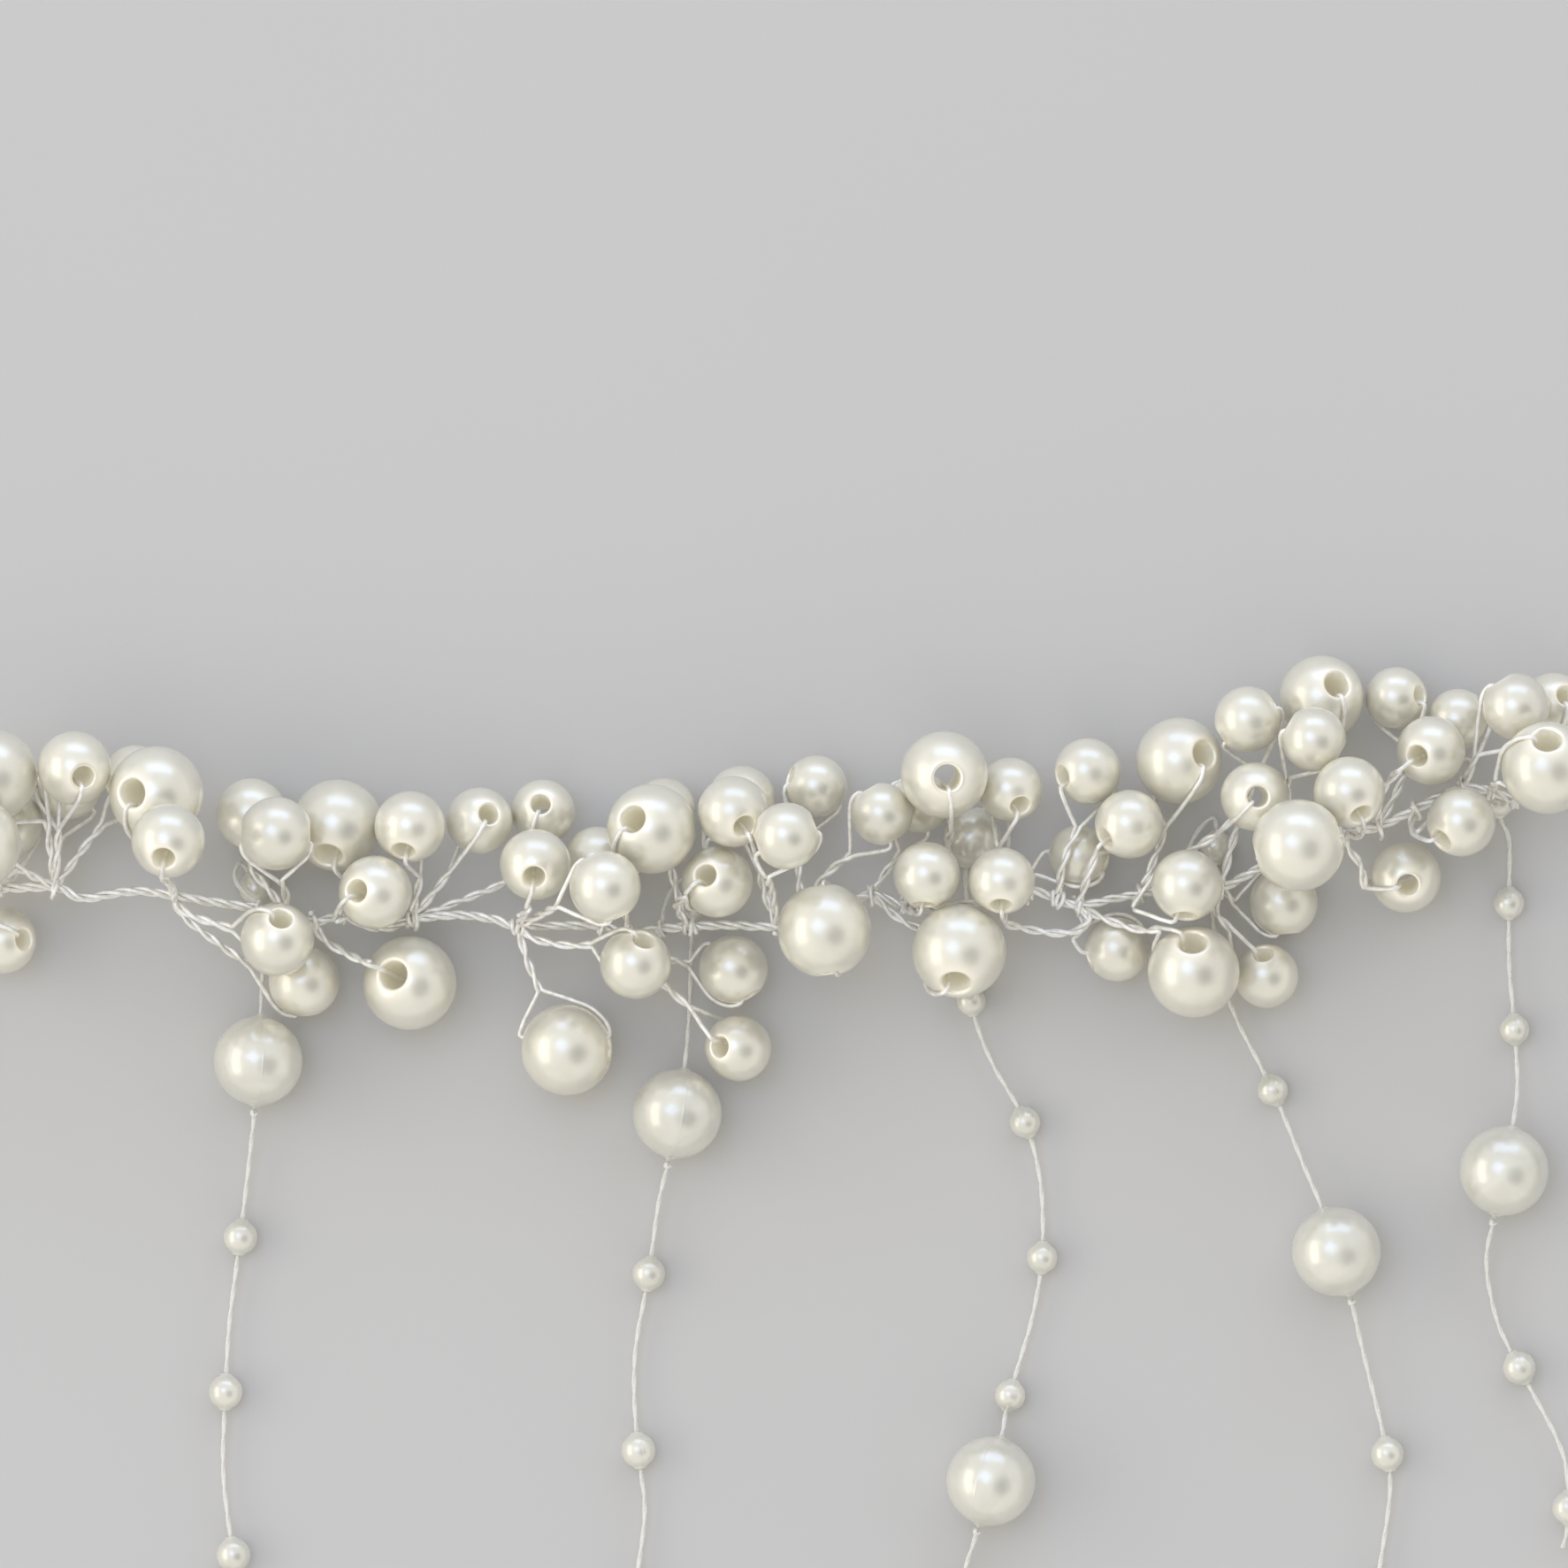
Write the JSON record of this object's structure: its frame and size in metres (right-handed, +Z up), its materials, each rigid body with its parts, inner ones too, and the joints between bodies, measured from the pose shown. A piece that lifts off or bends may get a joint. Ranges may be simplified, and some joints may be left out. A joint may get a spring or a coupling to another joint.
{
  "type": "tiara comb",
  "caption": "Twisted-wire hair vine of drilled pearls on short looped stems, with hanging bead strands and a small wire comb at each end.",
  "frame": {"origin": "bottom centre of the bounding box, on the surface that the piece lies on", "axes": "+X along the vine, the long way; +Y across it, towards the sprays and away from the hanging strands; +Z up from the surface"},
  "size_m": [0.236, 0.0847, 0.0204],
  "materials": {
    "comb_steel": "plain drawn wire",
    "silver_wire": "silver-white coated wire",
    "ivory_pearl": "pearlised lacquer",
    "white_thread": "twisted thread",
    "white_bead": "milky moulded pearl"
  },
  "bodies": {
    "root": {"comb_left": "comb_steel", "comb_right": "comb_steel", "main_wire": "silver_wire", "spray_wire_1": "silver_wire", "spray_wire_2": "silver_wire", "spray_wire_3": "silver_wire", "spray_wire_4": "silver_wire", "spray_wire_5": "silver_wire", "spray_wire_6": "silver_wire", "spray_wire_7": "silver_wire", "spray_wire_8": "silver_wire", "spray_wire_9": "silver_wire", "spray_wire_10": "silver_wire", "spray_pearls_1": "ivory_pearl", "spray_pearls_2": "ivory_pearl", "spray_pearls_3": "ivory_pearl", "spray_pearls_4": "ivory_pearl", "spray_pearls_5": "ivory_pearl", "spray_pearls_6": "ivory_pearl", "spray_pearls_7": "ivory_pearl", "spray_pearls_8": "ivory_pearl", "spray_pearls_9": "ivory_pearl", "spray_pearls_10": "ivory_pearl", "large_pearl_1": "ivory_pearl", "large_pearl_2": "ivory_pearl", "large_pearl_3": "ivory_pearl", "large_pearl_4": "ivory_pearl", "large_pearl_5": "ivory_pearl", "large_pearl_6": "ivory_pearl", "large_pearl_7": "ivory_pearl", "large_pearl_8": "ivory_pearl", "large_pearl_9": "ivory_pearl", "large_pearl_10": "ivory_pearl", "large_pearl_11": "ivory_pearl", "large_pearl_12": "ivory_pearl", "large_pearl_13": "ivory_pearl", "large_pearl_14": "ivory_pearl", "large_pearl_15": "ivory_pearl", "strand_thread_1": "white_thread", "strand_thread_2": "white_thread", "strand_thread_3": "white_thread", "strand_thread_4": "white_thread", "strand_thread_5": "white_thread", "strand_beads_1": "white_bead", "strand_beads_2": "white_bead", "strand_beads_3": "white_bead", "strand_beads_4": "white_bead", "strand_beads_5": "white_bead", "strand_pearl_1": "white_bead", "strand_pearl_2": "white_bead", "strand_pearl_3": "white_bead", "strand_pearl_4": "white_bead", "strand_pearl_5": "white_bead"}
  },
  "joints": []
}
